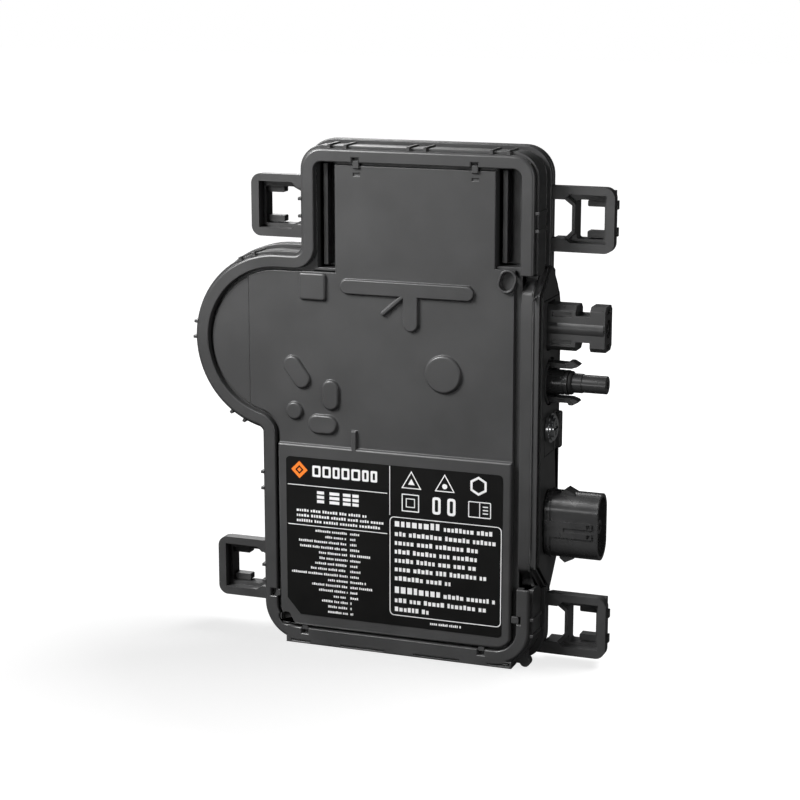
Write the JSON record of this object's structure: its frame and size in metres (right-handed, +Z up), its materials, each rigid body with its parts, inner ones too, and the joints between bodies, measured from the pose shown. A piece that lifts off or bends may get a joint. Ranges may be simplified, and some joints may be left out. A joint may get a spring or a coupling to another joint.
{
  "type": "micro inverter",
  "caption": "Slim upright solar micro inverter with a domed side, side mounting loops, a removable DC adaptor with latching plug and socket, and an oval AC connector.",
  "frame": {"origin": "middle of the foot line, on the floor under the front sealing lip", "axes": "+Z up, the label side faces -Y, the connectors face +X"},
  "size_m": [0.178, 0.0302, 0.212],
  "materials": {
    "shell_plastic": "fine-textured moulded dark grey polymer",
    "lid_plastic": "fine-textured moulded dark grey polymer",
    "label_film": "printed black film label",
    "port_rubber": "soft black plug",
    "seal_rubber": "black silicone seal",
    "connector_plastic": "moulded dark grey polymer",
    "screw_steel": "bright stainless steel",
    "contact_brass": "plated contact metal",
    "header_nylon": "natural nylon",
    "copper": "copper wire",
    "board_laminate": "green solder mask on glass laminate",
    "potting": "dark grey potting compound",
    "spreader_aluminium": "plain sheet",
    "ferrite": "sintered ferrite",
    "capacitor_can": "sleeved can",
    "chip_plastic": "moulded package",
    "film_yellow": "epoxy-dipped box",
    "varistor_blue": "dipped disc",
    "fuse_ceramic": "ceramic tube"
  },
  "bodies": {
    "inverter": {"front_frame": "shell_plastic", "lid": "lid_plastic", "label_plate": "label_film", "fill_port_plug": "port_rubber", "housing_gasket": "seal_rubber", "rear_housing": "shell_plastic", "loop_upper_left": "shell_plastic", "loop_upper_right": "shell_plastic", "loop_lower_left": "shell_plastic", "loop_lower_right": "shell_plastic", "dc_header": "header_nylon", "ac_connector_shell": "connector_plastic", "ac_connector_seal": "seal_rubber", "ac_pin_carrier": "connector_plastic", "ac_contact_pins": "contact_brass", "ac_lead_wires": "copper", "circuit_board": "board_laminate", "potting_compound": "potting", "heat_spreader": "spreader_aluminium", "transformer_core": "ferrite", "transformer_winding": "copper", "choke_core": "ferrite", "choke_winding": "copper", "bulk_capacitors": "capacitor_can", "power_transistors": "chip_plastic", "relay": "header_nylon", "film_capacitor": "film_yellow", "varistors": "varistor_blue", "fuse": "fuse_ceramic", "controller_chips": "chip_plastic", "board_screws": "screw_steel"},
    "dc_adaptor": {"dc_adaptor_body": "shell_plastic", "adaptor_seal": "seal_rubber", "adaptor_blades": "contact_brass", "dc_socket_shell": "connector_plastic", "dc_socket_contact": "contact_brass", "dc_plug_body": "connector_plastic", "dc_plug_contact": "contact_brass", "dc_plug_seal": "seal_rubber"},
    "adaptor_screw": {"adaptor_screw": "screw_steel"},
    "upper_latch": {"upper_snap_arm": "connector_plastic"},
    "lower_latch": {"lower_snap_arm": "connector_plastic"}
  },
  "joints": [
    {"name": "adaptor_slide", "type": "slide", "parent": "inverter", "child": "dc_adaptor", "axis": [1, 0, 0], "range_m": [0, 0.035]},
    {"name": "adaptor_screw_travel", "type": "slide", "parent": "dc_adaptor", "child": "adaptor_screw", "axis": [1, 0, 0], "range_m": [0, 0.009]},
    {"name": "upper_latch_flex", "type": "hinge", "parent": "dc_adaptor", "child": "upper_latch", "pos_m": [0.0578, 0.0006, 0.1251], "axis": [0, 1, 0], "range_deg": [0, 4], "stiffness_Nm_per_rad": 0.9},
    {"name": "lower_latch_flex", "type": "hinge", "parent": "dc_adaptor", "child": "lower_latch", "pos_m": [0.0578, 0.0006, 0.111], "axis": [0, -1, 0], "range_deg": [0, 4], "stiffness_Nm_per_rad": 0.9}
  ]
}
